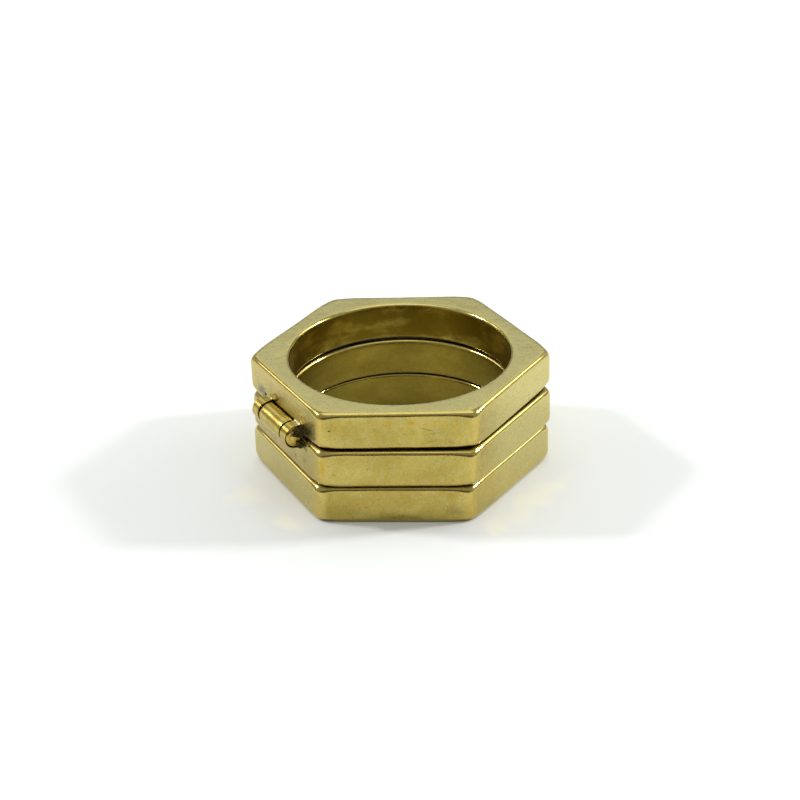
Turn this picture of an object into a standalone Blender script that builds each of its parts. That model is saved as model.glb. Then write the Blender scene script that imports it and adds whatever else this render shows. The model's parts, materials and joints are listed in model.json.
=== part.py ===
# Folding hexagonal finger ring.
#
# Three brass bands are stacked on one round finger bore. A barrel hinge let into the left
# flat joins the top band to the middle one, and a second hinge on the opposite flat joins
# the middle band to the bottom one, so the stack opens like a concertina into a flat row.
#
# Metres, +Z up the finger bore, origin at the centre of the underside. The hinged flats
# face -X (upper hinge) and +X (lower hinge), and both hinge axes run along Y.

from math import acos, cos, pi, radians, sin

import bmesh
import bpy
from mathutils import Vector

MM = 0.001

# Bands
BORE_RADIUS = 8.65 * MM
APOTHEM = 10.25 * MM              # half the distance across flats
BAND_HEIGHT = 3.08 * MM
LOWER_SEAM = 0.13 * MM            # air between the bottom and middle bands
UPPER_SEAM = 0.20 * MM            # air between the middle and top bands
CORNER_RADIUS = 0.80 * MM         # upright corners, halfway up a band
FACE_CORNER_RADIUS = 3.2 * MM     # the same corners where they roll onto the flat faces
EDGE_RADIUS = 0.42 * MM           # outer edges of the flat faces
RIM_RADIUS = 0.28 * MM            # edges of the bore

# Hinges
BARREL_RADIUS = 0.915 * MM
AXIS_STANDOFF = 0.43 * MM         # hinge axis outside the flat that it is let into
CENTRE_KNUCKLE = 3.60 * MM
END_KNUCKLE = 1.08 * MM
KNUCKLE_GAP = 0.08 * MM
KNUCKLE_CHAMFER = 0.07 * MM
POCKET_CLEARANCE = 0.13 * MM      # between a barrel and the pocket cut for it in a band
POCKET_END = 0.12 * MM            # the same at the ends of the barrel

# Pins
PIN_RADIUS = 0.40 * MM
PIN_CLEARANCE = 0.03 * MM
PIN_HEAD_RADIUS = 0.56 * MM
PIN_HEAD_HEIGHT = 0.13 * MM

# Solder that holds each knuckle in the pocket of its own band
SOLDER_GAP = 0.02 * MM
SOLDER_TIP = 0.05 * MM            # thickness where the fillet thins out on the barrel
SOLDER_LEG = 0.36 * MM            # how far the fillet climbs the flat past the pocket
SOLDER_END_INSET = 0.06 * MM

# Facets
BORE_SEGMENTS = 72
CORNER_SEGMENTS = 7
EDGE_SEGMENTS = 3
RIM_SEGMENTS = 2
BARREL_SEGMENTS = 36
PIN_SEGMENTS = 24
DOME_SEGMENTS = 3
FILLET_SEGMENTS = 6

# Heights and lengths that follow from the above
MIDDLE_Z = BAND_HEIGHT + LOWER_SEAM
TOP_Z = MIDDLE_Z + BAND_HEIGHT + UPPER_SEAM
LOWER_AXIS = Vector((APOTHEM + AXIS_STANDOFF, 0, BAND_HEIGHT + LOWER_SEAM / 2))
UPPER_AXIS = Vector((-APOTHEM - AXIS_STANDOFF, 0, TOP_Z - UPPER_SEAM / 2))
END_KNUCKLE_Y = CENTRE_KNUCKLE / 2 + KNUCKLE_GAP + END_KNUCKLE / 2
BARREL_HALF_LENGTH = END_KNUCKLE_Y + END_KNUCKLE / 2
POCKET_RADIUS = BARREL_RADIUS + POCKET_CLEARANCE
POCKET_LENGTH = 2 * (BARREL_HALF_LENGTH + SOLDER_GAP + PIN_HEAD_HEIGHT + POCKET_END)
HEX_SIDES = 6


def clear_scene():
    for obj in list(bpy.data.objects):
        bpy.data.objects.remove(obj, do_unlink=True)


def metal(name, colour, roughness):
    mat = bpy.data.materials.new(name)
    mat.use_nodes = True
    shader = mat.node_tree.nodes["Principled BSDF"]
    shader.inputs["Base Color"].default_value = (*colour, 1.0)
    shader.inputs["Metallic"].default_value = 1.0
    shader.inputs["Roughness"].default_value = roughness
    mat.diffuse_color = (*colour, 1.0)
    return mat


def finish_object(name, bm, material, world, parent=None):
    """Turn a bmesh into a smooth-shaded object whose origin is at world."""
    bmesh.ops.recalc_face_normals(bm, faces=bm.faces)
    mesh = bpy.data.meshes.new(name)
    bm.to_mesh(mesh)
    bm.free()
    mesh.materials.append(material)
    mesh.shade_smooth()
    mesh.set_sharp_from_angle(angle=radians(35))
    obj = bpy.data.objects.new(name, mesh)
    bpy.context.scene.collection.objects.link(obj)
    attach(obj, world, parent)
    return obj


def attach(obj, world, parent):
    """Put obj at a world position under a parent empty that is only moved, never turned."""
    obj.parent = parent
    obj.location = world - (world_position(parent) if parent else Vector())


def world_position(obj):
    above = world_position(obj.parent) if obj.parent else Vector()
    return above + obj.location


def pivot(name, world, parent=None):
    empty = bpy.data.objects.new(name, None)
    empty.empty_display_type = "SINGLE_ARROW"
    empty.empty_display_size = 4 * MM
    bpy.context.scene.collection.objects.link(empty)
    attach(empty, world, parent)
    return empty


def hexagon_ring(bm, inset, corner_radius, z):
    """Closed loop of vertices: a hexagon with round corners, its flats facing +X and -X."""
    apothem = APOTHEM - inset
    centre_distance = (apothem - corner_radius) / cos(pi / HEX_SIDES)
    loop = []
    for corner in range(HEX_SIDES):
        middle = pi / HEX_SIDES + corner * 2 * pi / HEX_SIDES
        centre = Vector((cos(middle), sin(middle), 0)) * centre_distance
        for step in range(CORNER_SEGMENTS + 1):
            turn = middle + (step / CORNER_SEGMENTS - 0.5) * 2 * pi / HEX_SIDES
            spot = centre + Vector((cos(turn), sin(turn), 0)) * corner_radius
            loop.append(bm.verts.new((spot.x, spot.y, z)))
    return close_loop(bm, loop)


def bore_ring(bm, radius, z):
    turns = [2 * pi * (step + 0.5) / BORE_SEGMENTS for step in range(BORE_SEGMENTS)]
    return close_loop(bm, [bm.verts.new((radius * cos(a), radius * sin(a), z)) for a in turns])


def close_loop(bm, verts):
    return [bm.edges.new((v, verts[(i + 1) % len(verts)])) for i, v in enumerate(verts)]


def quarter_round(radius, segments):
    """Pairs of (inset, height) from an upright wall round to a level face."""
    turns = [pi / 2 * step / segments for step in range(segments + 1)]
    return [(radius * (1 - cos(a)), radius * sin(a)) for a in turns]


def band_mesh():
    """One band at its own origin: a rounded hexagon outside, a round bore inside."""
    bm = bmesh.new()
    edge = quarter_round(EDGE_RADIUS, EDGE_SEGMENTS)
    rim = quarter_round(RIM_RADIUS, RIM_SEGMENTS)
    roll = FACE_CORNER_RADIUS - CORNER_RADIUS

    upper = [hexagon_ring(bm, i, CORNER_RADIUS + roll * i / EDGE_RADIUS,
                          BAND_HEIGHT - EDGE_RADIUS + h) for i, h in edge]
    lower = [hexagon_ring(bm, i, CORNER_RADIUS + roll * i / EDGE_RADIUS,
                          EDGE_RADIUS - h) for i, h in edge]
    upper_rim = [bore_ring(bm, BORE_RADIUS + i, BAND_HEIGHT - RIM_RADIUS + h) for i, h in rim]
    lower_rim = [bore_ring(bm, BORE_RADIUS + i, RIM_RADIUS - h) for i, h in rim]

    for stack in (lower[::-1] + upper, lower_rim[::-1] + upper_rim):
        for below, above in zip(stack, stack[1:]):
            bmesh.ops.bridge_loops(bm, edges=below + above)
    for outer, inner in ((upper[-1], upper_rim[-1]), (lower[-1], lower_rim[-1])):
        bmesh.ops.triangle_fill(bm, edges=outer + inner, use_beauty=True)
    return bm


def pocket_cutter(name, axis):
    """Round bar along a hinge axis that cuts the pockets for the barrel."""
    bm = turned_mesh([(0, -POCKET_LENGTH / 2), (POCKET_RADIUS, -POCKET_LENGTH / 2),
                      (POCKET_RADIUS, POCKET_LENGTH / 2), (0, POCKET_LENGTH / 2)],
                     BARREL_SEGMENTS)
    cutter = finish_object(name, bm, bpy.data.materials["band_brass"], axis)
    cutter.hide_render = True
    cutter.display_type = "WIRE"
    return cutter


def band(name, z, parent, cutters):
    obj = finish_object(name, band_mesh(), bpy.data.materials["band_brass"],
                        Vector((0, 0, z)), parent)
    for cutter in cutters:
        cut = obj.modifiers.new("hinge pocket", "BOOLEAN")
        cut.operation = "DIFFERENCE"
        cut.solver = "EXACT"
        cut.object = cutter
    return obj


def turned_mesh(profile, segments, closed=False):
    """Spin a profile of (radius, y) points once round the Y axis."""
    bm = bmesh.new()
    verts = [bm.verts.new((radius, y, 0)) for radius, y in profile]
    edges = [bm.edges.new(pair) for pair in zip(verts, verts[1:])]
    if closed:
        edges.append(bm.edges.new((verts[-1], verts[0])))
    bmesh.ops.spin(bm, geom=verts + edges, axis=(0, 1, 0), cent=(0, 0, 0),
                   steps=segments, angle=2 * pi, use_merge=True)
    bmesh.ops.remove_doubles(bm, verts=bm.verts, dist=1e-7)
    return bm


def knuckle(name, length, y, axis, parent):
    """Tube section of a hinge barrel, with small chamfers at its outer ends."""
    bore = PIN_RADIUS + PIN_CLEARANCE
    end = length / 2
    shoulder = end - KNUCKLE_CHAMFER
    profile = [(bore, -end), (BARREL_RADIUS - KNUCKLE_CHAMFER, -end), (BARREL_RADIUS, -shoulder),
               (BARREL_RADIUS, shoulder), (BARREL_RADIUS - KNUCKLE_CHAMFER, end), (bore, end)]
    bm = turned_mesh(profile, BARREL_SEGMENTS, closed=True)
    return finish_object(name, bm, bpy.data.materials["hinge_brass"],
                         axis + Vector((0, y, 0)), parent)


def hinge_pin(name, axis, parent):
    """Pin through all three knuckles, peened over into a low dome at each end."""
    inner = BARREL_HALF_LENGTH + SOLDER_GAP
    turns = [pi / 2 * step / DOME_SEGMENTS for step in range(DOME_SEGMENTS + 1)]
    half = [(PIN_RADIUS, inner)]
    half += [(PIN_HEAD_RADIUS * cos(a), inner + PIN_HEAD_HEIGHT * sin(a)) for a in turns[:-1]]
    half += [(0, inner + PIN_HEAD_HEIGHT)]
    profile = [(radius, -y) for radius, y in reversed(half)] + half
    bm = turned_mesh(profile, PIN_SEGMENTS)
    return finish_object(name, bm, bpy.data.materials["pin_brass"], axis, parent)


def solder(name, length, y, axis, outward, upward, parent):
    """Solder between a knuckle and its band: it fills the pocket and ends in a fillet.

    outward is +1 or -1 along X, away from the band. upward is +1 for a band above the
    hinge axis and -1 for one below it.
    """
    inner = BARREL_RADIUS + SOLDER_GAP
    outer = POCKET_RADIUS - SOLDER_GAP
    face = -AXIS_STANDOFF + SOLDER_GAP
    mouth = acos(face / outer)                    # where the pocket wall meets the flat
    deep, tip = radians(160), radians(66)
    foot = Vector((face, outer * sin(mouth) + SOLDER_LEG))
    crest = Vector((cos(tip), sin(tip))) * (inner + SOLDER_TIP)
    hollow = Vector((cos(mouth), sin(mouth))) * outer

    def arc(radius, start, stop):
        turns = [start + (stop - start) * i / FILLET_SEGMENTS for i in range(FILLET_SEGMENTS + 1)]
        return [Vector((cos(a), sin(a))) * radius for a in turns]

    def fillet():
        for i in range(1, FILLET_SEGMENTS):
            t = i / FILLET_SEGMENTS
            yield foot * (1 - t) ** 2 + hollow * 2 * t * (1 - t) + crest * t ** 2

    outline = arc(inner, tip, deep) + arc(outer, deep, mouth) + [foot] + list(fillet()) + [crest]
    bm = bmesh.new()
    near = [bm.verts.new((outward * p.x, -length / 2, upward * p.y)) for p in outline]
    face = bm.faces.new(near)
    swept = bmesh.ops.extrude_face_region(bm, geom=[face])
    moved = [item for item in swept["geom"] if isinstance(item, bmesh.types.BMVert)]
    bmesh.ops.translate(bm, verts=moved, vec=(0, length, 0))
    bmesh.ops.triangulate(bm, faces=[f for f in bm.faces if len(f.verts) > 4])
    return finish_object(name, bm, bpy.data.materials["solder"],
                         axis + Vector((0, y, 0)), parent)


def hinge(name, axis, outward, upper_pivot, lower_pivot):
    """End knuckles and pin go with the band above, the centre knuckle with the one below."""
    end_solder = END_KNUCKLE - 2 * SOLDER_END_INSET
    centre_solder = CENTRE_KNUCKLE - 2 * SOLDER_END_INSET
    for place, side in (("front", -1), ("back", 1)):
        y = side * END_KNUCKLE_Y
        knuckle(f"{name}_{place}_knuckle", END_KNUCKLE, y, axis, upper_pivot)
        solder(f"{name}_{place}_solder", end_solder, y, axis, outward, 1, upper_pivot)
    hinge_pin(f"{name}_pin", axis, upper_pivot)
    knuckle(f"{name}_centre_knuckle", CENTRE_KNUCKLE, 0, axis, lower_pivot)
    solder(f"{name}_centre_solder", centre_solder, 0, axis, outward, -1, lower_pivot)


def build():
    clear_scene()
    metal("band_brass", (0.50, 0.42, 0.17), 0.34)
    metal("hinge_brass", (0.52, 0.41, 0.14), 0.30)
    metal("pin_brass", (0.46, 0.36, 0.14), 0.36)
    metal("solder", (0.42, 0.37, 0.22), 0.45)

    lower_pivot = pivot("lower_hinge_axis", LOWER_AXIS)
    upper_pivot = pivot("upper_hinge_axis", UPPER_AXIS, lower_pivot)
    lower_cutter = pocket_cutter("lower_pocket_cutter", LOWER_AXIS)
    upper_cutter = pocket_cutter("upper_pocket_cutter", UPPER_AXIS)

    band("bottom_band", 0, None, [lower_cutter])
    band("middle_band", MIDDLE_Z, lower_pivot, [lower_cutter, upper_cutter])
    band("top_band", TOP_Z, upper_pivot, [upper_cutter])
    hinge("lower_hinge", LOWER_AXIS, 1, lower_pivot, None)
    hinge("upper_hinge", UPPER_AXIS, -1, upper_pivot, lower_pivot)


build()
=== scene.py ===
import json
from math import acos, cos, exp, pi, radians, sin, sqrt, tan

import bmesh
import bpy
from mathutils import Matrix, Vector, noise


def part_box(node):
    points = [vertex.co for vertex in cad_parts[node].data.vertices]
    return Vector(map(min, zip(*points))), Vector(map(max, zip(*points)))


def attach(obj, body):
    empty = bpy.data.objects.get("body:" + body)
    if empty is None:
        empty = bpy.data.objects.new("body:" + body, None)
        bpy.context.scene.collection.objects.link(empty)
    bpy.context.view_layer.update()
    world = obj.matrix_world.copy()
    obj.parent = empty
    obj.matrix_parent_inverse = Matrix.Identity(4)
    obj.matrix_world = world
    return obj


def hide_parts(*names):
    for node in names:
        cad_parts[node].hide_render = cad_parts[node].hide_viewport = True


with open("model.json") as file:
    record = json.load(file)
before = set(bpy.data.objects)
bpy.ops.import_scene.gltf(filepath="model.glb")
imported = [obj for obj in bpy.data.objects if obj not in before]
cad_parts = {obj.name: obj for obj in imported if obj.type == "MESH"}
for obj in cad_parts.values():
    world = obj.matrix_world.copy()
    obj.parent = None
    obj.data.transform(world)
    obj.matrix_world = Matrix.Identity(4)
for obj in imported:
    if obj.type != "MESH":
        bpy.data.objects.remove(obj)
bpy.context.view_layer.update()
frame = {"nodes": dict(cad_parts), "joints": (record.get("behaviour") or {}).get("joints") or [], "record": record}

# Folding hexagonal ring in aged brass: three bands, two let-in barrel hinges, solder and flux.
# Everything is in metres in the CAD frame; the dictionaries hold millimetres and degrees.

mm = 0.001
scene = bpy.context.scene
joints = {joint["name"]: Vector(joint["pos_m"]) for joint in frame["joints"]}
print("frame loaded:", len(frame["nodes"]), "nodes")


# ---- small helpers

def newObject(name, bm, smoothAngle=40):
    mesh = bpy.data.meshes.new(name)
    bm.to_mesh(mesh)
    bm.free()
    mesh.shade_smooth()
    mesh.set_sharp_from_angle(angle=radians(smoothAngle))
    obj = bpy.data.objects.new(name, mesh)
    scene.collection.objects.link(obj)
    return obj


def bakeModifiers(obj):
    graph = bpy.context.evaluated_depsgraph_get()
    finished = bpy.data.meshes.new_from_object(obj.evaluated_get(graph))
    obj.modifiers.clear()
    obj.data = finished


def ringEdges(ring):
    inside = set(ring)
    return list({e for v in ring for e in v.link_edges if e.other_vert(v) in inside})


def smooth(value, low, high):
    share = min(1.0, max(0.0, (value - low) / (high - low)))
    return share * share * (3 - 2 * share)


def wobble(point, size, seed):
    return noise.noise(point / size + Vector((seed, -2.3 * seed, 5.1 * seed)))


# ---- bands

band = {
    "boreRadius": 8.65,
    "cornerRadius": 0.80,    # upright corners
    "edgeRadius": 0.36,      # outer edges along the flats
    "cornerRoll": 0.66,      # the same edges where the corners are rubbed down
    "cornerReach": 0.95,     # how far from a corner the extra rubbing goes
    "rimRadius": 0.28,
    "uneven": 0.12,          # share by which the outer edges vary, over unevenLength
    "unevenLength": 2.2,
    "cornerShine": 0.45,     # half width of the polished line down each corner
    "fileWave": 0.012,       # depth of the filing waves on the flats
    "waveLength": 4.5,
    # dirt plus painted shade on the faces where the bands meet
    "faceGrimeShade": 0.72,
    "cornerSteps": 16,
    "flatSteps": 44,
    "roundSteps": 9,
    "wallSteps": 9,
    "faceSteps": 6,
    "rimSteps": 7,
}
bandLie = {  # how each loose band sits in the stack: turn in degrees, slide in mm
    # the last two values darken the top and low faces where a band meets its neighbour or the floor: dirt plus
    # painted shade
    "top_band": {"turn": 0.0, "slide": (0.0, 0.0), "seed": 1.7, "grimeShadeTop": 0.0, "grimeShadeLow": 1.0},
    "middle_band": {"turn": -0.95, "slide": (0.02, -0.03), "seed": 4.2, "grimeShadeTop": 1.0, "grimeShadeLow": 1.0},
    "bottom_band": {"turn": -1.45, "slide": (0.02, 0.26), "seed": 8.9, "grimeShadeTop": 1.0, "grimeShadeLow": 0.3},
}


def outlineSpots(apothem):
    # points round a hexagon with round corners: place, outward direction, distance from a corner
    radius = band["cornerRadius"] * mm
    reach = (apothem - radius) / cos(pi / 6)
    halfArc = radius * pi / 6
    halfFlat = apothem * tan(pi / 6) - radius * tan(pi / 6)
    spots = []
    for corner in range(6):
        middle = pi / 6 + corner * pi / 3
        centre = Vector((cos(middle), sin(middle), 0)) * reach
        for step in range(band["cornerSteps"] + 1):
            share = step / band["cornerSteps"] - 0.5
            out = Vector((cos(middle + share * pi / 3), sin(middle + share * pi / 3), 0))
            spots.append((centre + out * radius, out, abs(share) * 2 * halfArc))
        along = Vector((-out.y, out.x, 0))
        start = spots[-1][0]
        for step in range(1, band["flatSteps"]):
            run = 2 * halfFlat * step / band["flatSteps"]
            spots.append((start + along * run, out, halfArc + min(run, 2 * halfFlat - run)))
    return spots


def makeBand(name):
    low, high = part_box(name)
    lie = bandLie[name]
    height = high.z - low.z
    apothem = high.x
    bore = band["boreRadius"] * mm
    rim = band["rimRadius"] * mm
    spots = outlineSpots(apothem)
    bm = bmesh.new()
    layers = {key: bm.verts.layers.float.new(key) for key in ("bore", "grimeShade", "edge", "side")}

    def edgeRound(spot):
        place, out, far = spot
        near = exp(-(far / (band["cornerReach"] * mm)) ** 2)
        size = band["edgeRadius"] + (band["cornerRoll"] - band["edgeRadius"]) * near
        return size * mm * (1 + band["uneven"] * wobble(place, band["unevenLength"] * mm, lie["seed"]))

    def outside(turn, top):
        def place(spot):
            size = edgeRound(spot)
            lift = size * (1 - sin(turn))
            flat = spot[0] - spot[1] * size * (1 - cos(turn))
            return Vector((flat.x, flat.y, high.z - lift if top else low.z + lift))
        # the edge next to a mating face is darkened: dirt plus painted seam shade
        mating = lie["grimeShadeTop"] if top else lie["grimeShadeLow"]
        return place, {"edge": sin(2 * turn), "grimeShade": mating * smooth(turn / (pi / 2), 0.55, 1.0),
                       "side": cos(turn)}

    def wall(share):
        def place(spot):
            size = edgeRound(spot)
            return Vector((spot[0].x, spot[0].y, low.z + size + (height - 2 * size) * share))
        return place, {"side": 1.0}

    def face(share, top):
        def place(spot):
            edge = spot[0] - spot[1] * edgeRound(spot)
            inner = edge.normalized() * (bore + rim)
            flat = edge.lerp(inner, share)
            return Vector((flat.x, flat.y, high.z if top else low.z))
        # a mating face is darkened: dirt plus painted shade between the bands
        return place, {"grimeShade": band["faceGrimeShade"] * (lie["grimeShadeTop"] if top else lie["grimeShadeLow"])}

    def onBore(spot, radius, z):
        around = (spot[0] - spot[1] * edgeRound(spot)).normalized() * radius
        return Vector((around.x, around.y, z))

    def boreWall(share):
        def place(spot):
            return onBore(spot, bore, high.z - rim - (height - 2 * rim) * share)
        return place, {"bore": 1.0}

    def rimRound(turn, top):
        def place(spot):
            drop = rim * (1 - sin(turn))
            return onBore(spot, bore + rim * (1 - cos(turn)), high.z - drop if top else low.z + drop)
        # the bore rim next to a mating face is darkened: dirt plus painted seam shade
        mating = lie["grimeShadeTop"] if top else lie["grimeShadeLow"]
        return place, {"bore": 1 - smooth(turn / (pi / 2), 0.0, 0.45), "edge": sin(2 * turn),
                       "grimeShade": mating * smooth(turn / (pi / 2), 0.75, 1.0)}

    rounds = [pi / 2 * i / band["roundSteps"] for i in range(band["roundSteps"] + 1)]
    rims = [pi / 2 * i / band["rimSteps"] for i in range(band["rimSteps"] + 1)]
    walls = [i / band["wallSteps"] for i in range(1, band["wallSteps"])]
    faces = [i / band["faceSteps"] for i in range(1, band["faceSteps"])]
    rings = [outside(a, False) for a in reversed(rounds)]
    rings += [wall(share) for share in walls]
    rings += [outside(a, True) for a in rounds]
    rings += [face(share, True) for share in faces]
    rings += [rimRound(a, True) for a in reversed(rims)]
    rings += [boreWall(share) for share in walls]
    rings += [rimRound(a, False) for a in rims]
    rings += [face(share, False) for share in reversed(faces)]

    # the rings are joined as a plain stack, then each one is moved to its place on the band
    stack = []
    for level in range(len(rings)):
        stack.append(bmesh.ops.create_circle(bm, segments=len(spots), radius=apothem,
                                             matrix=Matrix.Translation((0, 0, level * mm)))["verts"])
    for below, above in zip(stack, stack[1:] + stack[:1]):
        bmesh.ops.bridge_loops(bm, edges=ringEdges(below) + ringEdges(above))
    for ring, (place, wear) in zip(stack, rings):
        for vert, spot in zip(ring, spots):
            vert.co = place(spot)
            corner = exp(-(spot[2] / (band["cornerShine"] * mm)) ** 2)
            for key, layer in layers.items():
                vert[layer] = wear.get(key, 0)
            if "side" in wear:
                vert[layers["edge"]] = max(vert[layers["edge"]], corner)
    bmesh.ops.recalc_face_normals(bm, faces=bm.faces)
    bm.normal_update()

    depth = band["fileWave"] * mm
    shift = {v: v.normal * depth * wobble(v.co, band["waveLength"] * mm, lie["seed"]) for v in bm.verts}
    for vert, move in shift.items():
        vert.co += Vector((move.x, move.y, move.z * 0.4))
    bmesh.ops.rotate(bm, verts=bm.verts, cent=(0, 0, 0),
                     matrix=Matrix.Rotation(radians(lie["turn"]), 3, "Z"))
    bmesh.ops.translate(bm, verts=bm.verts, vec=Vector((*lie["slide"], 0)) * mm)
    return newObject(name + "_body", bm)


# ---- hinges

barrel = {
    "topClearance": 0.13,    # the pocket over the centre knuckle is the wide one
    "lowClearance": 0.07,
    "pocketEnd": 0.12,
    "pocketSegments": 128,
    "lip": 0.05,             # burnished edge of the pockets
    "lipAngle": 38,
    "endRound": 0.11,        # knuckle ends that face each other
    "crown": 0.030,
    "frontWear": 0.02,       # how much shorter the centre knuckle has become at each end
    "backWear": 0.10,
    "outerRound": 0.40,      # the worn outer ends of the barrel
    "dent": 0.012,           # share by which a knuckle is out of round, over dentLength
    "dentLength": 0.9,
    "segments": 96,
    # the next value marks the knuckle ends that face each other dark: grime plus painted shade in the gap
    "grimeShadeDepth": 0.05,      # on the knuckle ends that face each other
    "lengthSteps": 12,
    "endSteps": 6,
    "pinBore": 0.43,
    "pinRadius": 0.40,
    "headRadius": 0.56,      # peened pin end
    "headStart": 0.02,
    "headSteps": 8,
}


def hingeOf(node):
    return "upper_hinge" if node.startswith("upper") else "lower_hinge"


def cutPockets(obj, hinges):
    # round-bottomed pocket along each hinge axis, through the bands on both sides of its seam
    for hinge in hinges:
        low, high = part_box(hinge + "_centre_knuckle")
        pinLow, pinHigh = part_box(hinge + "_pin")
        above = max(vert.co.z for vert in obj.data.vertices) > high.z
        clearance = barrel["topClearance"] if above else barrel["lowClearance"]
        radius = (high.z - low.z) / 2 + clearance * mm
        length = pinHigh.y - pinLow.y + 2 * barrel["pocketEnd"] * mm
        bm = bmesh.new()
        bmesh.ops.create_cone(bm, cap_ends=True, segments=barrel["pocketSegments"],
                              radius1=radius, radius2=radius, depth=length)
        bmesh.ops.rotate(bm, verts=bm.verts, cent=(0, 0, 0), matrix=Matrix.Rotation(pi / 2, 3, "X"))
        bmesh.ops.translate(bm, verts=bm.verts, vec=joints[hinge])
        cutter = newObject("cutter", bm)
        cut = obj.modifiers.new("pocket", "BOOLEAN")
        cut.operation = "DIFFERENCE"
        cut.solver = "EXACT"
        cut.object = cutter
        bakeModifiers(obj)
        bpy.data.objects.remove(cutter)
        # the pocket walls are marked dark: grime plus painted shade in the recess
        grimeShade = obj.data.attributes["grimeShade"].data
        for vert in obj.data.vertices:
            away = Vector((vert.co.x - joints[hinge].x, vert.co.z - joints[hinge].z)).length
            if away < radius + 0.01 * mm and abs(vert.co.y) < length / 2 + 0.01 * mm:
                grimeShade[vert.index].value = 1.0
    lip = obj.modifiers.new("lip", "BEVEL")
    lip.width = barrel["lip"] * mm
    lip.segments = 2
    lip.limit_method = "ANGLE"
    lip.angle_limit = radians(barrel["lipAngle"])
    bakeModifiers(obj)
    obj.data.shade_smooth()
    obj.data.set_sharp_from_angle(angle=radians(40))


def turned(profile, centre):
    # spins (radius, y) points round the hinge axis, which runs along Y
    bm = bmesh.new()
    verts = [bm.verts.new((radius, y, 0)) for radius, y in profile]
    for pair in zip(verts, verts[1:] + verts[:1]):
        bm.edges.new(pair)
    bmesh.ops.spin(bm, geom=bm.verts[:] + bm.edges[:], axis=(0, 1, 0), cent=(0, 0, 0),
                   steps=barrel["segments"], angle=2 * pi, use_merge=True)
    bmesh.ops.remove_doubles(bm, verts=bm.verts, dist=1e-7)
    bmesh.ops.dissolve_degenerate(bm, dist=1e-7, edges=bm.edges)
    bmesh.ops.recalc_face_normals(bm, faces=bm.faces)
    bmesh.ops.translate(bm, verts=bm.verts, vec=centre)
    return bm


def roundedEnd(radius, y, size, outward):
    # quarter round from the side of a barrel to its end, as (radius, y) points
    turns = [pi / 2 * i / barrel["endSteps"] for i in range(barrel["endSteps"] + 1)]
    return [(radius - size * (1 - cos(a)), y - outward * size * (1 - sin(a))) for a in turns]


def makeKnuckle(node):
    low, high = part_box(node)
    axis = joints[hingeOf(node)]
    radius = (high.z - low.z) / 2
    front, back = low.y, high.y
    frontRound = barrel["outerRound" if "front" in node else "endRound"] * mm
    backRound = barrel["outerRound" if "back" in node else "endRound"] * mm
    crown = 0.0
    if "centre" in node:
        front += barrel["frontWear"] * mm
        back -= barrel["backWear"] * mm
        crown = barrel["crown"] * mm
    bore = barrel["pinBore"] * mm
    steps = barrel["lengthSteps"]
    profile = [(bore, front)] + roundedEnd(radius, front, frontRound, -1)[::-1]
    for step in range(1, steps):
        share = step / steps
        swell = 1 - (2 * (share - 0.12)) ** 2 if share < 0.55 else 1 - share ** 2
        profile.append((radius + crown * swell, front + (back - front) * share))
    profile += roundedEnd(radius, back, backRound, 1) + [(bore, back)]
    bm = turned(profile, axis)
    # the knuckle ends that face each other are marked dark: grime plus painted shade in the gap
    grimeShade = bm.verts.layers.float.new("grimeShade")
    facing = (front if "back" in node else back, back if "front" in node else front)
    for vert in bm.verts:
        if min(abs(vert.co.y - y) for y in facing) < barrel["grimeShadeDepth"] * mm:
            vert[grimeShade] = 1.0
        away = Vector((vert.co.x - axis.x, 0, vert.co.z - axis.z))
        vert.co += away * (barrel["dent"] * wobble(vert.co, barrel["dentLength"] * mm, 7.7))
    return newObject(node + "_body", bm)


def makePin(node):
    low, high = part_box(node)
    hinge = hingeOf(node)
    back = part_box(hinge + "_back_knuckle")[1].y + barrel["headStart"] * mm
    steps = barrel["headSteps"]
    turns = [pi / 2 * i / steps for i in range(steps)]
    head = [(barrel["headRadius"] * mm * cos(a), back + (high.y - back) * sin(a)) for a in turns]
    half = [(barrel["pinRadius"] * mm, back)] + head + [(0, high.y)]
    profile = [(radius, -y) for radius, y in reversed(half)] + half
    return newObject(node + "_body", turned(profile, joints[hinge]))


solderSeam = {
    "sink": 0.03,            # how far the solder bites into the barrel and the band
    "crest": 88,             # where the fillet leaves the barrel, degrees up from straight out
    "deep": 160,             # where it ends, down in the pocket
    "leg": 0.13,             # how far it climbs the flat past the pocket
    "foot": 0.08,
    "endRound": 0.26,
    "lump": 0.026,
    "lumpLength": 0.55,
    "steps": 14,
    "slice": 0.06,
    "ridge": 0.055,          # filed ridge along the front seam
    "ridgeUp": 0.06,
    "ridgeWidth": 0.10,
}


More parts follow.
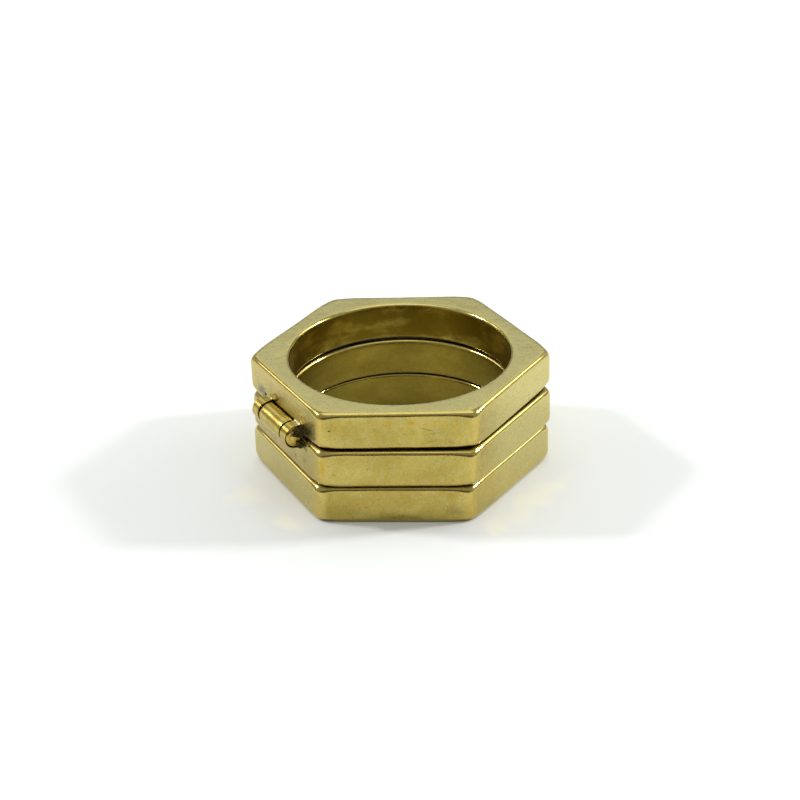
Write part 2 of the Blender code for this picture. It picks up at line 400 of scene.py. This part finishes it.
def makeSolder(node):
    # the pocket beside a knuckle filled with solder, running out in a hollow fillet on the flat
    low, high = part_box(node)
    hinge = hingeOf(node)
    axis = joints[hinge]
    outward = 1 if axis.x > 0 else -1
    upward = -1 if "centre" in node else 1
    knuckleLow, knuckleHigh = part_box(hinge + "_centre_knuckle")
    radius = (knuckleHigh.z - knuckleLow.z) / 2
    sink = solderSeam["sink"] * mm
    clearance = barrel["lowClearance"] if "centre" in node else barrel["topClearance"]
    pocket = radius + clearance * mm + 0.3 * sink
    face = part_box("top_band")[1].x - abs(axis.x)
    mouth = acos(face / pocket)
    crestTurn, deep = radians(solderSeam["crest"]), radians(solderSeam["deep"])
    crest = Vector((cos(crestTurn), 0, sin(crestTurn))) * (radius + 0.1 * sink)
    climb = (face - crest.x) / -sin(crestTurn)
    bend = crest + Vector((-sin(crestTurn), 0, cos(crestTurn))) * climb
    foot = Vector((face, 0, pocket * sin(mouth) + solderSeam["leg"] * mm))
    steps = solderSeam["steps"]

    def arc(size, start, stop):
        turns = [start + (stop - start) * i / steps for i in range(steps + 1)]
        return [Vector((cos(a), 0, sin(a))) * size for a in turns]

    fillet = [foot * (1 - t) ** 2 + bend * 2 * t * (1 - t) + crest * t ** 2
              for t in [i / steps for i in range(steps + 1)]]
    buried = Vector((face - solderSeam["foot"] * mm, 0, foot.z))
    inner = arc(radius - sink, crestTurn, deep)
    outer = arc(pocket, deep, mouth + 0.02)
    outline = inner + outer + [Vector((buried.x, 0, outer[-1].z)), buried] + fillet
    bm = bmesh.new()
    filedHighlight = bm.verts.layers.float.new("filedHighlight")
    section = [bm.verts.new((p.x, low.y, p.z)) for p in outline]
    bm.faces.new(section)
    swept = bmesh.ops.extrude_face_region(bm, geom=bm.faces[:])
    moved = [item for item in swept["geom"] if isinstance(item, bmesh.types.BMVert)]
    bmesh.ops.translate(bm, verts=moved, vec=(0, high.y - low.y, 0))
    long = [e for e in bm.edges if abs(e.verts[0].co.y - e.verts[1].co.y) > 0.1 * mm]
    slices = max(10, round((high.y - low.y) / (solderSeam["slice"] * mm)))
    bmesh.ops.subdivide_edges(bm, edges=long, cuts=slices - 1, use_grid_fill=True)
    bmesh.ops.recalc_face_normals(bm, faces=bm.faces)
    bm.normal_update()
    core = Vector((face, 0, pocket * sin(mouth)))
    ridgeAt = core + Vector((0, 0, solderSeam["ridgeUp"] * mm))
    for vert in bm.verts:
        flat = Vector((vert.co.x, 0, vert.co.z))
        showing = flat.length > radius + 0.05 * sink and flat.x > face - 0.01 * mm
        if showing:
            fade = min(vert.co.y - low.y, high.y - vert.co.y) / (solderSeam["endRound"] * mm)
            drop = 1 - sqrt(max(0.0, 1 - (1 - min(1.0, fade)) ** 2))
            flat = flat.lerp(core, 0.85 * drop)
            lump = solderSeam["lump"] * mm * wobble(vert.co, solderSeam["lumpLength"] * mm, 3.1)
            flat += Vector((vert.normal.x, 0, vert.normal.z)) * lump * (1 - drop)
            # the ridge is marked for a near-white colour: filed metal plus a painted highlight
            if node == "upper_hinge_front_solder":
                near = exp(-((flat - ridgeAt).length / (solderSeam["ridgeWidth"] * mm)) ** 2)
                flat += Vector((0.8, 0, 0.2)) * solderSeam["ridge"] * mm * near * (1 - drop)
                vert[filedHighlight] = near
        vert.co = Vector((flat.x, vert.co.y, flat.z))
    bmesh.ops.scale(bm, verts=bm.verts, vec=(outward, 1, upward))
    bmesh.ops.translate(bm, verts=bm.verts, vec=(axis.x, 0, axis.z))
    bmesh.ops.recalc_face_normals(bm, faces=bm.faces)
    return newObject(node + "_body", bm)


# ---- burnt flux left on the end of the upper hinge

residue = {
    "lumps": [  # centre (towards the band, up, past the knuckle's end) and radius
        (0.10, 0.50, 0.10, 0.26), (0.36, 0.48, 0.16, 0.31), (0.64, 0.40, 0.18, 0.30),
        (0.82, 0.10, 0.16, 0.27), (0.66, -0.26, 0.18, 0.28), (0.42, -0.52, 0.20, 0.28),
        (0.20, -0.70, 0.20, 0.21), (0.56, -0.76, 0.20, 0.22), (-0.08, 0.60, 0.02, 0.18),
        (0.44, 0.76, 0.16, 0.22), (0.34, 0.10, 0.22, 0.17), (0.10, -0.40, 0.20, 0.16),
        (-0.22, 0.34, 0.14, 0.16), (0.78, 0.66, 0.30, 0.20), (0.96, 0.42, 0.30, 0.18),
        (-0.02, 0.22, 0.20, 0.15),
    ],
    "flatten": 0.8,          # the lumps are pressed against the knuckle
    "grain": 0.16,
    "fineGrain": 0.06,
    "roughness": 0.50,
    "voxel": 0.020,
}


def makeResidue():
    axis = joints["upper_hinge"]
    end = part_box("upper_hinge_front_knuckle")[0].y
    bm = bmesh.new()
    for inward, up, past, size in residue["lumps"]:
        place = Vector((axis.x + inward * mm, end - past * mm, axis.z + up * mm))
        pressed = Matrix.Translation(place) @ Matrix.Diagonal((1, residue["flatten"], 1, 1))
        ball = bmesh.ops.create_icosphere(bm, subdivisions=4, radius=size * mm, matrix=pressed)
        for vert in ball["verts"]:
            away = (vert.co - place).normalized()
            bump = wobble(vert.co, residue["grain"] * mm, 6.3)
            bump += 0.5 * wobble(vert.co, residue["fineGrain"] * mm, 2.2)
            vert.co += away * size * mm * residue["roughness"] * bump
    obj = newObject("hinge_flux_residue", bm)
    skin = obj.modifiers.new("skin", "REMESH")
    skin.mode = "VOXEL"
    skin.voxel_size = residue["voxel"] * mm
    skin.adaptivity = 0
    ease = obj.modifiers.new("ease", "SMOOTH")
    ease.factor = 0.5
    ease.iterations = 3
    bakeModifiers(obj)
    obj.data.shade_smooth()
    return obj


# ---- materials

def addNode(tree, kind, inputs=None, **settings):
    node = tree.nodes.new("ShaderNode" + kind)
    for key, value in settings.items():
        setattr(node, key, value)
    for key, value in (inputs or {}).items():
        if isinstance(value, bpy.types.NodeSocket):
            tree.links.new(value, node.inputs[key])
        else:
            node.inputs[key].default_value = value
    return node


def mixed(tree, share, first, second, blend="MIX"):
    node = addNode(tree, "Mix", data_type="RGBA", blend_type=blend)
    for index, value in ((0, share), (6, first), (7, second)):
        if isinstance(value, bpy.types.NodeSocket):
            tree.links.new(value, node.inputs[index])
        else:
            node.inputs[index].default_value = value if index == 0 else (*value, 1)
    return node.outputs[2]


def maths(tree, operation, first, second=0.0):
    return addNode(tree, "Math", {0: first, 1: second}, operation=operation).outputs[0]


def ramp(tree, value, low, high, bottom=0.0, top=1.0):
    return addNode(tree, "MapRange", {"Value": value, "From Min": low, "From Max": high, "To Min": bottom,
                                      "To Max": top}, interpolation_type="SMOOTHSTEP").outputs["Result"]


def grainOf(tree, points, scale, detail=3.0, roughness=0.55):
    return addNode(tree, "TexNoise", {"Vector": points, "Scale": scale, "Detail": detail,
                                      "Roughness": roughness}).outputs["Fac"]


def inMillimetres(tree):
    coords = addNode(tree, "TexCoord")
    return addNode(tree, "VectorMath", {0: coords.outputs["Object"], "Scale": 1000.0},
                   operation="SCALE").outputs[0]


def spotMask(tree, points, ragged, centre, size, turn=0.0, tilt=0.0, soft=0.5):
    # 1 inside a ragged ellipsoid, in millimetres; turn is about Z, tilt is within the turned face
    local = addNode(tree, "Mapping", {"Vector": points, "Location": centre, "Scale": size,
                                      "Rotation": (0, radians(tilt), radians(turn))}, vector_type="TEXTURE")
    far = addNode(tree, "VectorMath", {0: local.outputs[0]}, operation="LENGTH").outputs["Value"]
    return ramp(tree, maths(tree, "ADD", far, ragged), 1.0, 1.0 - soft)


def attributeOf(tree, name):
    return addNode(tree, "Attribute", attribute_name=name).outputs["Fac"]


def newMaterial(name):
    mat = bpy.data.materials.new(name)
    mat.use_nodes = True
    return mat, mat.node_tree, mat.node_tree.nodes["Principled BSDF"]


def finishSurface(tree, shader, colour, rough, relief, finish):
    tree.links.new(colour, shader.inputs["Base Color"])
    tree.links.new(rough, shader.inputs["Roughness"])
    bump = addNode(tree, "Bump", {"Height": relief, "Strength": finish["reliefStrength"],
                                  "Distance": finish["reliefDepth"] * mm})
    tree.links.new(bump.outputs[0], shader.inputs["Normal"])


bandFinish = {
    "dark": (0.420, 0.325, 0.075),
    "light": (0.520, 0.422, 0.120),
    "film": (0.48, 0.44, 0.18),
    "paleSheen": (0.62, 0.535, 0.20),     # painted reflection on the right-hand sides
    "topPale": (0.475, 0.435, 0.20),
    "speck": (0.20, 0.15, 0.045),
    "bore": (0.26, 0.190, 0.022),
    "borePale": (0.72, 0.58, 0.12),
    # dirt and painted shade in the seams, pockets and knuckle gaps
    "grimeShade": (0.060, 0.036, 0.010),
    "polished": (0.64, 0.49, 0.14),
    "roughness": 0.22,
    "dirtRoughness": 0.30,
    "boreRoughness": 0.08,
    "edgePolish": 0.06,
    "broadScale": 0.32,              # pattern scales, per millimetre
    "mottleScale": 1.6,
    "fineScale": 6.5,
    "speckScale": 3.4,
    "stainScale": 4.0,
    "stainRagged": 1.9,
    "bendScale": 1.1,
    "bend": 0.35,
    "boreStretch": (0.30, 0.30, 0.62),
    "reliefStrength": 0.45,
    "reliefDepth": 0.04,
}
flatTurn = {"front": -30, "left": -90}  # which way each flat faces, from -Y
ochre = (0.50, 0.30, 0.030)
dark = (0.055, 0.040, 0.010)
inkBlue = (0.24, 0.25, 0.17)
olive = (0.20, 0.155, 0.04)
pink = (0.62, 0.42, 0.24)
greyFilm = (0.40, 0.35, 0.15)
stainDepth = 0.4
stains = [  # band, flat, place along the flat and up the band, half length, half height, tilt, tint, strength
    ("top_band", "front", -3.6, 2.4, 0.24, 0.20, 0, ochre, 0.80),
    ("top_band", "front", -4.5, 2.0, 0.18, 0.16, 0, ochre, 0.70),
    ("top_band", "front", -1.0, 2.1, 0.11, 0.42, 0, ochre, 0.90),
    ("top_band", "front", -0.6, 2.1, 0.10, 0.40, 0, ochre, 0.90),
    ("top_band", "front", 1.1, 2.2, 0.50, 0.26, 0, ochre, 0.90),
    ("top_band", "front", 0.3, 1.8, 0.28, 0.16, 0, ochre, 0.70),
    ("top_band", "front", 2.9, 2.4, 0.60, 0.11, 0, ochre, 0.70),
    ("top_band", "front", 2.8, 2.1, 0.08, 0.28, 0, ochre, 0.70),
    ("top_band", "front", 3.6, 2.2, 0.08, 0.26, 0, ochre, 0.70),
    ("middle_band", "front", -5.8, 1.8, 0.26, 1.35, 0, ochre, 0.70),
    ("bottom_band", "front", -5.8, 1.7, 0.22, 1.20, 0, ochre, 0.40),
    ("middle_band", "front", 2.9, 0.8, 0.62, 0.055, -9, ochre, 0.90),
    ("top_band", "front", -5.1, 1.7, 0.12, 0.09, 0, dark, 0.85),
    ("top_band", "front", 2.2, 1.7, 0.78, 0.062, 12, olive, 0.65),
    ("top_band", "front", 2.7, 1.4, 0.30, 0.062, -24, olive, 0.65),
    ("top_band", "front", 2.5, 0.7, 0.66, 0.062, -18, olive, 0.60),
    ("top_band", "front", 4.0, 0.6, 0.48, 0.062, 24, olive, 0.55),
    ("middle_band", "front", -4.9, 1.1, 0.28, 0.062, 35, olive, 0.65),
    ("middle_band", "front", -5.3, 1.8, 0.16, 0.062, 30, olive, 0.55),
    ("bottom_band", "front", 4.1, 1.1, 0.95, 0.60, 0, olive, 0.35),
    ("bottom_band", "front", 0.6, 0.5, 2.20, 0.35, 0, olive, 0.40),
    ("bottom_band", "front", -5.7, 1.2, 0.20, 0.30, 0, olive, 0.45),
    ("top_band", "left", -2.1, 2.5, 3.60, 0.15, 0, pink, 0.55),
    ("top_band", "left", 0.7, 2.2, 0.90, 0.14, 0, pink, 0.40),
    ("middle_band", "left", -0.6, 0.8, 2.80, 0.17, 0, pink, 0.45),
    ("top_band", "left", 1.3, 1.3, 2.60, 0.62, 0, greyFilm, 0.55),
    ("top_band", "left", -3.8, 0.8, 0.95, 0.62, 0, inkBlue, 0.80),
    ("top_band", "left", -1.1, 1.4, 0.60, 0.20, 0, dark, 0.75),
    ("middle_band", "left", 1.8, 1.0, 0.26, 0.24, 0, inkBlue, 0.65),
    ("middle_band", "left", 3.4, 1.2, 0.42, 0.40, 0, inkBlue, 0.45),
    ("top_band", "left", 4.3, 0.9, 1.30, 0.78, 0, dark, 0.75),
    ("top_band", "left", 4.0, 0.7, 0.85, 0.55, 0, dark, 0.95),
    ("middle_band", "left", 3.6, 2.5, 0.55, 0.30, 0, dark, 0.60),
]


def onFlat(name, turn, along, up):
    # a place on a band's flat in millimetres, from the flat's middle and the band's underside
    low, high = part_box(name)
    a = radians(turn)
    away = high.x / mm
    return (along * cos(a) + away * sin(a), along * sin(a) - away * cos(a), low.z / mm + up)


def makeBandBrass():
    mat, tree, shader = newMaterial("bandBrass")
    points = inMillimetres(tree)
    bore, grimeShade, edge, side = (attributeOf(tree, key) for key in ("bore", "grimeShade", "edge", "side"))
    place = addNode(tree, "SeparateXYZ", {0: points})
    broad = grainOf(tree, points, bandFinish["broadScale"], 6, 0.6)
    mottle = grainOf(tree, points, bandFinish["mottleScale"], 5, 0.6)
    fine = grainOf(tree, points, bandFinish["fineScale"], 4, 0.7)
    colour = mixed(tree, ramp(tree, broad, 0.36, 0.66), bandFinish["dark"], bandFinish["light"])
    colour = mixed(tree, ramp(tree, mottle, 0.48, 0.72, 0, 0.55), colour, bandFinish["film"])
    # painted reflection: the right-hand sides and the left side of the bottom band are lightened to a paler brass
    sideSheen = ramp(tree, place.outputs["X"], 0.3, 4.5, 0, 0.85)
    low = maths(tree, "MULTIPLY", ramp(tree, place.outputs["X"], -9.6, -10.1),
                ramp(tree, place.outputs["Z"], 3.4, 2.6))
    sideSheen = maths(tree, "MULTIPLY", side, maths(tree, "MAXIMUM", sideSheen, maths(tree, "MULTIPLY", low, 0.65)))
    colour = mixed(tree, sideSheen, colour, bandFinish["paleSheen"])
    flatTop = maths(tree, "MULTIPLY", maths(tree, "SUBTRACT", 1.0, side), 0.6)
    colour = mixed(tree, flatTop, colour, bandFinish["topPale"])
    shade = mixed(tree, ramp(tree, fine, 0.30, 0.70), (0.89, 0.88, 0.83), (1.09, 1.09, 1.10))
    specks = ramp(tree, grainOf(tree, points, bandFinish["speckScale"], 3, 0.6), 0.64, 0.73, 0, 0.55)
    colour = mixed(tree, specks, colour, bandFinish["speck"])
    # worn and polished edges
    colour = mixed(tree, maths(tree, "MULTIPLY", edge, 0.6), colour, bandFinish["polished"])
    # stains with a ragged border, the fine scratches bent a little
    ragged = maths(tree, "SUBTRACT", grainOf(tree, points, bandFinish["stainScale"], 5, 0.65), 0.5)
    ragged = maths(tree, "MULTIPLY", ragged, bandFinish["stainRagged"])
    slightly = maths(tree, "MULTIPLY", ragged, 0.35)
    bend = addNode(tree, "TexNoise", {"Vector": points, "Scale": bandFinish["bendScale"], "Detail": 1.0})
    bent = addNode(tree, "VectorMath", {0: bend.outputs["Color"], 1: (bandFinish["bend"],) * 3, 2: points},
                   operation="MULTIPLY_ADD")
    bent = addNode(tree, "VectorMath", {0: bent.outputs[0], 1: (bandFinish["bend"] / 2,) * 3},
                   operation="SUBTRACT")
    dirty = None
    for name, flat, along, up, halfLength, halfHeight, tilt, tint, strength in stains:
        border = slightly if tint is olive and halfHeight < 0.1 else ragged
        soft = 0.85 if tint is ochre else 0.6
        turn = flatTurn[flat]
        mask = spotMask(tree, bent.outputs[0], border, onFlat(name, turn, along, up),
                        (halfLength, stainDepth, halfHeight), turn, tilt, soft)
        mask = maths(tree, "MULTIPLY", mask, strength)
        colour = mixed(tree, mask, colour, tint)
        if tint in (dark, inkBlue, greyFilm):
            dirty = mask if dirty is None else maths(tree, "MAXIMUM", dirty, mask)
    # the bore keeps its dark cast skin, patchy in the top band
    wide = addNode(tree, "Mapping", {"Vector": points, "Location": (1.5, 0.6, 0),
                                     "Scale": bandFinish["boreStretch"]})
    patches = grainOf(tree, wide.outputs[0], 1.0, 6, 0.62)
    contrast = ramp(tree, place.outputs["Z"], 6.2, 6.5, 0.18, 1.0)
    patches = maths(tree, "MULTIPLY", maths(tree, "SUBTRACT", patches, 0.57), contrast)
    boreColour = mixed(tree, ramp(tree, patches, -0.14, 0.18), bandFinish["bore"], bandFinish["borePale"])
    colour = mixed(tree, bore, colour, boreColour)
    colour = mixed(tree, 1.0, colour, shade, "MULTIPLY")
    # seams, pockets and knuckle gaps darkened: dirt plus painted shade
    grimeShadeAmount = maths(tree, "MULTIPLY", grimeShade, ramp(tree, mottle, 0.25, 0.5, 0.7, 1.0))
    colour = mixed(tree, grimeShadeAmount, colour, bandFinish["grimeShade"])
    shader.inputs["Metallic"].default_value = 1.0
    rough = ramp(tree, mottle, 0.35, 0.75, bandFinish["roughness"] - 0.01, bandFinish["roughness"] + 0.08)
    rough = maths(tree, "ADD", rough, maths(tree, "MULTIPLY", dirty, bandFinish["dirtRoughness"]))
    rough = maths(tree, "ADD", rough, maths(tree, "MULTIPLY", bore, bandFinish["boreRoughness"]))
    rough = maths(tree, "ADD", rough, maths(tree, "MULTIPLY", grimeShade, bandFinish["dirtRoughness"]))
    rough = maths(tree, "SUBTRACT", rough, maths(tree, "MULTIPLY", edge, bandFinish["edgePolish"]))
    hollows = grainOf(tree, points, 1.1, 2, 0.5)
    relief = maths(tree, "ADD", maths(tree, "MULTIPLY", hollows, 1.2), maths(tree, "MULTIPLY", fine, 0.12))
    relief = maths(tree, "MULTIPLY", relief, ramp(tree, edge, 0.1, 0.9, 1.0, 0.35))
    finishSurface(tree, shader, colour, rough, relief, bandFinish)
    return mat


hingeFinish = {
    "dark": (0.46, 0.34, 0.065),
    "light": (0.60, 0.47, 0.13),
    "shadow": (0.20, 0.12, 0.025),
    "roughness": 0.23,
    "drawn": (9, 0.8, 9),            # drawing lines run along the tube
    "reliefStrength": 0.4,
    "reliefDepth": 0.03,
}


def makeHingeBrass():
    mat, tree, shader = newMaterial("hingeBrass")
    points = inMillimetres(tree)
    broad = grainOf(tree, points, 0.9, 5, 0.6)
    fine = grainOf(tree, points, 5.0, 4, 0.65)
    drawn = addNode(tree, "Mapping", {"Vector": points, "Scale": hingeFinish["drawn"]}).outputs[0]
    lines = grainOf(tree, drawn, 1.0, 3, 0.6)
    colour = mixed(tree, ramp(tree, broad, 0.36, 0.66), hingeFinish["dark"], hingeFinish["light"])
    colour = mixed(tree, ramp(tree, fine, 0.58, 0.75, 0, 0.45), colour, hingeFinish["shadow"])
    # knuckle ends darkened in the gaps: grime plus painted shade
    colour = mixed(tree, ramp(tree, attributeOf(tree, "grimeShade"), 0.2, 0.9), colour, bandFinish["grimeShade"])
    shader.inputs["Metallic"].default_value = 1.0
    rough = ramp(tree, lines, 0.3, 0.7, hingeFinish["roughness"] - 0.03, hingeFinish["roughness"] + 0.06)
    relief = maths(tree, "ADD", maths(tree, "MULTIPLY", lines, 0.15), maths(tree, "MULTIPLY", fine, 0.2))
    finishSurface(tree, shader, colour, rough, relief, hingeFinish)
    return mat


solderFinish = {
    "dull": (0.40, 0.335, 0.12),
    "bright": (0.54, 0.46, 0.19),
    # near-white ridge colour: filed metal plus a painted highlight
    "filedHighlight": (0.95, 0.90, 0.60),
    "roughness": 0.30,
    "grainScale": 2.6,
    "reliefStrength": 0.6,
    "reliefDepth": 0.05,
}


def makeSolderFinish():
    mat, tree, shader = newMaterial("solderFinish")
    grain = grainOf(tree, inMillimetres(tree), solderFinish["grainScale"], 5, 0.65)
    # filed metal plus a painted highlight along the solder ridge
    filedHighlight = ramp(tree, attributeOf(tree, "filedHighlight"), 0.45, 0.80)
    colour = mixed(tree, ramp(tree, grain, 0.36, 0.64), solderFinish["dull"], solderFinish["bright"])
    colour = mixed(tree, filedHighlight, colour, solderFinish["filedHighlight"])
    shader.inputs["Metallic"].default_value = 1.0
    rough = ramp(tree, grain, 0.3, 0.7, solderFinish["roughness"] - 0.05, solderFinish["roughness"] + 0.15)
    rough = maths(tree, "SUBTRACT", rough, maths(tree, "MULTIPLY", filedHighlight, 0.08))
    finishSurface(tree, shader, colour, rough, grain, solderFinish)
    return mat


fluxFinish = {
    "black": (0.010, 0.006, 0.001),
    "brown": (0.16, 0.115, 0.030),
    "shine": 0.25,
    "shineTint": (0.75, 0.62, 0.35, 1),
    "grainScale": 9.0,
    "reliefStrength": 0.8,
    "reliefDepth": 0.06,
}


def makeFluxMaterial():
    mat, tree, shader = newMaterial("burntFlux")
    grain = grainOf(tree, inMillimetres(tree), fluxFinish["grainScale"], 4, 0.7)
    colour = mixed(tree, ramp(tree, grain, 0.42, 0.68), fluxFinish["black"], fluxFinish["brown"])
    shader.inputs["Specular IOR Level"].default_value = fluxFinish["shine"]
    shader.inputs["Specular Tint"].default_value = fluxFinish["shineTint"]
    rough = ramp(tree, grain, 0.3, 0.7, 0.15, 0.7)
    finishSurface(tree, shader, colour, rough, grain, fluxFinish)
    return mat


bandBrass = makeBandBrass()
hingeBrass = makeHingeBrass()
solderMetal = makeSolderFinish()
fluxMaterial = makeFluxMaterial()
print("materials ready")

# ---- building the ring

bodyOf = {node: body for body, group in frame["record"]["behaviour"]["bodies"].items() for node in group}


def dress(obj, node, material):
    obj.data.materials.clear()
    obj.data.materials.append(material)
    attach(obj, bodyOf[node])
    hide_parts(node)


for node, hinges in (("top_band", ["upper_hinge"]), ("middle_band", ["upper_hinge", "lower_hinge"]),
                     ("bottom_band", ["lower_hinge"])):
    piece = makeBand(node)
    cutPockets(piece, hinges)
    dress(piece, node, bandBrass)
    print("made", node, len(piece.data.polygons), "faces")

for node in sorted(frame["nodes"]):
    if node.endswith("knuckle"):
        dress(makeKnuckle(node), node, hingeBrass)
    elif node.endswith("pin"):
        dress(makePin(node), node, hingeBrass)
    elif node.endswith("solder"):
        dress(makeSolder(node), node, solderMetal)
crust = makeResidue()
crust.data.materials.append(fluxMaterial)
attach(crust, "top_section")
print("made the hinges and the flux on them")

# ---- studio

studio = {
    "floorSize": 6.0,
    "floorColour": (0.90, 0.915, 0.905),
    "glintColour": (0.985, 0.975, 0.87),
    "glints": [  # pale gold light thrown on the floor by the sides: centre, size, turn, strength
        ((5.3, -11.2, 0), (5.4, 1.7, 3), 28, 0.80), ((1.0, -13.2, 0), (1.7, 1.4, 3), 28, 0.95),
        ((-13.4, 1.2, 0), (2.0, 1.9, 3), 60, 0.80), ((-12.4, -4.2, 0), (1.1, 2.8, 3), 10, 0.80),
    ],
    "glintScale": 0.45,
    "glintRagged": 1.5,
    "glintSoft": 0.85,
    "floorRoughness": 0.9,
    "cameraTurn": -27.9,
    "cameraHeight": 27.8,
    "cameraRoll": -1.83,
    "cameraDistance": 177.3,
    "cameraSide": -0.10,
    "cameraAim": 5.30,
    "lens": 100.9,
    "lightAim": 4.0,
    "roomColour": (0.98, 1.0, 0.985, 1),
    "roomLight": 0.40,
    "dimLight": 0.10,
    "dimTurn": -30,
    "dimWidth": (0.62, 0.85),
    "dimHeight": (20, 34),
}


def direction(turn, height):
    # towards a place seen at that compass angle (0 in front, -Y) and height above the floor
    a, e = radians(turn), radians(height)
    return Vector((sin(a) * cos(e), -cos(a) * cos(e), sin(e)))


def makeFloor():
    bm = bmesh.new()
    bmesh.ops.create_grid(bm, x_segments=8, y_segments=8, size=studio["floorSize"] / 2)
    obj = newObject("floor", bm)
    mat, tree, shader = newMaterial("paleFloor")
    points = inMillimetres(tree)
    ragged = maths(tree, "SUBTRACT", grainOf(tree, points, studio["glintScale"], 2, 0.5), 0.5)
    ragged = maths(tree, "MULTIPLY", ragged, studio["glintRagged"])
    colour = studio["floorColour"]
    for centre, size, turn, strength in studio["glints"]:
        mask = spotMask(tree, points, ragged, centre, size, turn, 0, studio["glintSoft"])
        colour = mixed(tree, maths(tree, "MULTIPLY", mask, strength), colour, studio["glintColour"])
    tree.links.new(colour, shader.inputs["Base Color"])
    shader.inputs["Roughness"].default_value = studio["floorRoughness"]
    shader.inputs["Specular IOR Level"].default_value = 0.0
    obj.data.materials.append(mat)


def makeLight(name, turn, height, distance, size, radiance, colour):
    data = bpy.data.lights.new(name, "AREA")
    data.shape = "RECTANGLE"
    data.size, data.size_y = size
    data.color = colour
    data.energy = radiance * pi * size[0] * size[1]
    obj = bpy.data.objects.new(name, data)
    scene.collection.objects.link(obj)
    away = direction(turn, height)
    obj.location = Vector((0, 0, studio["lightAim"] * mm)) + away * distance
    obj.rotation_euler = away.to_track_quat("Z", "Y").to_euler()
    obj.visible_camera = False


def makeWorld():
    # an even pale room, dim only low down on the camera's side, where the room is unlit
    world = bpy.data.worlds.new("studio")
    scene.world = world
    world.use_nodes = True
    tree = world.node_tree
    around = addNode(tree, "TexCoord").outputs["Generated"]
    toward = addNode(tree, "VectorMath", {0: around, 1: direction(studio["dimTurn"], 0)},
                     operation="DOT_PRODUCT").outputs["Value"]
    up = addNode(tree, "SeparateXYZ", {0: around}).outputs["Z"]
    lowest, highest = studio["dimHeight"]
    dim = maths(tree, "MULTIPLY", ramp(tree, toward, *studio["dimWidth"]),
                ramp(tree, up, sin(radians(highest)), sin(radians(lowest))))
    strength = addNode(tree, "MapRange", {"Value": dim, "To Min": studio["roomLight"],
                                          "To Max": studio["dimLight"]})
    background = tree.nodes["Background"]
    background.inputs["Color"].default_value = studio["roomColour"]
    tree.links.new(strength.outputs["Result"], background.inputs["Strength"])


def makeCamera():
    data = bpy.data.cameras.new("camera")
    data.lens = studio["lens"]
    data.clip_start = 0.005
    data.clip_end = 20
    obj = bpy.data.objects.new("camera", data)
    scene.collection.objects.link(obj)
    back = direction(studio["cameraTurn"], studio["cameraHeight"])
    right = Vector((0, 0, 1)).cross(back).normalized()
    up = back.cross(right)
    roll = radians(studio["cameraRoll"])
    tiltedRight = right * cos(roll) + up * sin(roll)
    tiltedUp = up * cos(roll) - right * sin(roll)
    aim = right * studio["cameraSide"] * mm + Vector((0, 0, studio["cameraAim"] * mm))
    place = aim + back * studio["cameraDistance"] * mm
    obj.matrix_world = Matrix((
        (tiltedRight.x, tiltedUp.x, back.x, place.x),
        (tiltedRight.y, tiltedUp.y, back.y, place.y),
        (tiltedRight.z, tiltedUp.z, back.z, place.z),
        (0, 0, 0, 1)))
    scene.camera = obj


lights = [  # name, turn, height, distance in metres, size, radiance, colour
    ("rightLamp", 70, 30, 0.6, (0.07, 0.07), 112, (1, 1, 1)),
    ("leftLamp", -131, 38, 0.6, (0.07, 0.07), 92, (1, 1, 1)),
    ("overhead", 0, 88, 0.6, (0.55, 0.55), 1.0, (1, 1, 1)),
    ("leftStrip", -149, 25, 0.6, (0.08, 0.16), 3.4, (1, 1, 1)),
    ("rightBox", 88, 30, 0.6, (0.22, 0.20), 2.8, (1, 1, 1)),
    ("backdrop", 152, 39, 0.8, (0.9, 0.44), 0.74, (0.95, 1.0, 0.96)),
]

makeFloor()
makeWorld()
makeCamera()
for light in lights:
    makeLight(*light)
scene.view_settings.view_transform = "Standard"
print("studio ready")
